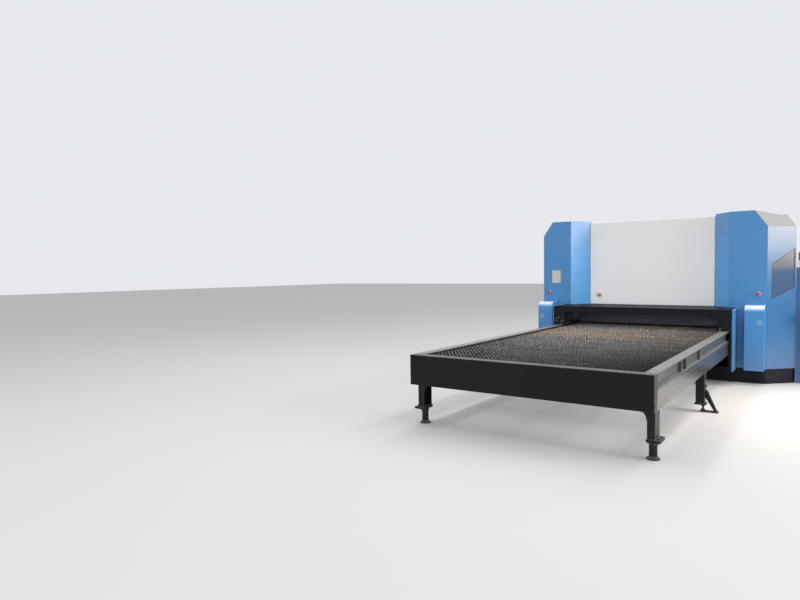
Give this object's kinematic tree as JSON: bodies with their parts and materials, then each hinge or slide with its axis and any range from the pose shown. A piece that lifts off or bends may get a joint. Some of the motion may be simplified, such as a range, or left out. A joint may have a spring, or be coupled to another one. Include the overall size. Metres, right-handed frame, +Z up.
{
  "type": "fiber laser cutting machine",
  "caption": "Enclosed flat-bed fiber laser cutter with a recessed front between two towers, a lifting entry gate and a long shuttle table whose slatted pallet rolls into the cabin.",
  "frame": {"origin": "middle of the footprint, on the floor", "axes": "+Z up, +Y from the shuttle table into the cabin, +X towards the operator console"},
  "size_m": [4.3132, 10.16, 2.4973],
  "materials": {
    "charcoal_paint": "worn satin",
    "black_paint": "matt",
    "blue_paint": "satin",
    "pale_blue_paint": "satin",
    "dark_blue_paint": "satin",
    "white_paint": "satin",
    "grey_paint": "satin",
    "rail_steel": "rolled bright",
    "burnt_steel": "scorched and rusty",
    "carriage_alloy": "machined",
    "lock_brass": "satin",
    "stop_collar": "gloss",
    "stop_red": "gloss",
    "lamp_white": "matt",
    "dark_glass": "tinted"
  },
  "bodies": {
    "machine": {"beam_front": "charcoal_paint", "side_beam_left": "charcoal_paint", "side_beam_right": "charcoal_paint", "leg_front_left": "charcoal_paint", "leg_front_right": "charcoal_paint", "leg_mid_left": "charcoal_paint", "leg_mid_right": "charcoal_paint", "foot_front_left": "charcoal_paint", "foot_front_right": "charcoal_paint", "cross_member_front": "charcoal_paint", "cross_member_rear": "charcoal_paint", "guide_rail_left": "rail_steel", "guide_rail_right": "rail_steel", "hood": "black_paint", "plinth_front": "black_paint", "plinth_left": "black_paint", "plinth_right": "black_paint", "plinth_rear": "black_paint", "bed_left": "grey_paint", "bed_right": "grey_paint", "tower_left": "blue_paint", "tower_right": "blue_paint", "tower_base_left": "blue_paint", "tower_base_right": "blue_paint", "front_panel": "white_paint", "panel_lock": "lock_brass", "corner_panel": "pale_blue_paint", "corner_glass": "dark_glass", "corner_roof": "grey_paint", "wall_left": "white_paint", "wall_right": "white_paint", "wall_rear": "white_paint", "roof": "white_paint", "estop_collar_left": "stop_collar", "estop_collar_right": "stop_collar", "console_body": "dark_blue_paint", "console_screen": "dark_glass", "lamp_base": "lamp_white", "lamp_red": "stop_red"},
    "pallet": {"pallet_side_left": "charcoal_paint", "pallet_side_right": "charcoal_paint", "pallet_end_front": "charcoal_paint", "pallet_end_rear": "charcoal_paint", "pallet_cross_front": "charcoal_paint", "pallet_cross_rear": "charcoal_paint", "slat_grate": "burnt_steel"},
    "wheel_fl": {"wheel_front_left": "rail_steel"},
    "wheel_fr": {"wheel_front_right": "rail_steel"},
    "wheel_rl": {"wheel_rear_left": "rail_steel"},
    "wheel_rr": {"wheel_rear_right": "rail_steel"},
    "gantry": {"gantry": "white_paint"},
    "carriage": {"carriage": "carriage_alloy"},
    "head": {"cutting_head": "black_paint"},
    "gate": {"gate": "black_paint"},
    "sliding_door": {"door_right": "blue_paint", "door_right_glass": "dark_glass"},
    "service_door": {"door_left": "blue_paint"},
    "cabinet_door": {"console_door": "dark_blue_paint"},
    "stop_left": {"estop_left": "stop_red"},
    "stop_right": {"estop_right": "stop_red"}
  },
  "joints": [
    {"name": "pallet_slide", "type": "slide", "parent": "machine", "child": "pallet", "axis": [0, 1, 0], "range_m": [0, 4.98]},
    {"name": "wheel_fl_spin", "type": "hinge", "parent": "pallet", "child": "wheel_fl", "pos_m": [-1.48265, -4.53, 0.5957], "axis": [1, 0, 0], "continuous": true},
    {"name": "wheel_fr_spin", "type": "hinge", "parent": "pallet", "child": "wheel_fr", "pos_m": [0.58735, -4.53, 0.5957], "axis": [1, 0, 0], "continuous": true},
    {"name": "wheel_rl_spin", "type": "hinge", "parent": "pallet", "child": "wheel_rl", "pos_m": [-1.48265, -0.57, 0.5957], "axis": [1, 0, 0], "continuous": true},
    {"name": "wheel_rr_spin", "type": "hinge", "parent": "pallet", "child": "wheel_rr", "pos_m": [0.58735, -0.57, 0.5957], "axis": [1, 0, 0], "continuous": true},
    {"name": "gantry_slide", "type": "slide", "parent": "machine", "child": "gantry", "axis": [0, 1, 0], "range_m": [-0.2, 4.1]},
    {"name": "carriage_slide", "type": "slide", "parent": "gantry", "child": "carriage", "axis": [1, 0, 0], "range_m": [-0.95, 0.95]},
    {"name": "head_slide", "type": "slide", "parent": "carriage", "child": "head", "axis": [0, 0, 1], "range_m": [-0.1, 0]},
    {"name": "gate_lift", "type": "slide", "parent": "machine", "child": "gate", "axis": [0, 0, 1], "range_m": [0, 0.27]},
    {"name": "sliding_door_slide", "type": "slide", "parent": "machine", "child": "sliding_door", "axis": [0, 1, 0], "range_m": [0, 1.55]},
    {"name": "service_door_hinge", "type": "hinge", "parent": "machine", "child": "service_door", "pos_m": [-2.12265, 1.114, 1.24], "axis": [0, 0, 1], "range_deg": [0, 110]},
    {"name": "cabinet_door_hinge", "type": "hinge", "parent": "machine", "child": "cabinet_door", "pos_m": [2.11265, -0.047, 0.49], "axis": [0, 0, 1], "range_deg": [0, 110]},
    {"name": "stop_left_press", "type": "slide", "parent": "machine", "child": "stop_left", "axis": [0, 1, 0], "range_m": [0, 0.005]},
    {"name": "stop_right_press", "type": "slide", "parent": "machine", "child": "stop_right", "axis": [0, 1, 0], "range_m": [0, 0.005]}
  ],
  "couplings": [
    {"joint": "wheel_fl_spin", "follows": "pallet_slide", "rad_per_m": -20},
    {"joint": "wheel_fr_spin", "follows": "pallet_slide", "rad_per_m": -20},
    {"joint": "wheel_rl_spin", "follows": "pallet_slide", "rad_per_m": -20},
    {"joint": "wheel_rr_spin", "follows": "pallet_slide", "rad_per_m": -20}
  ]
}
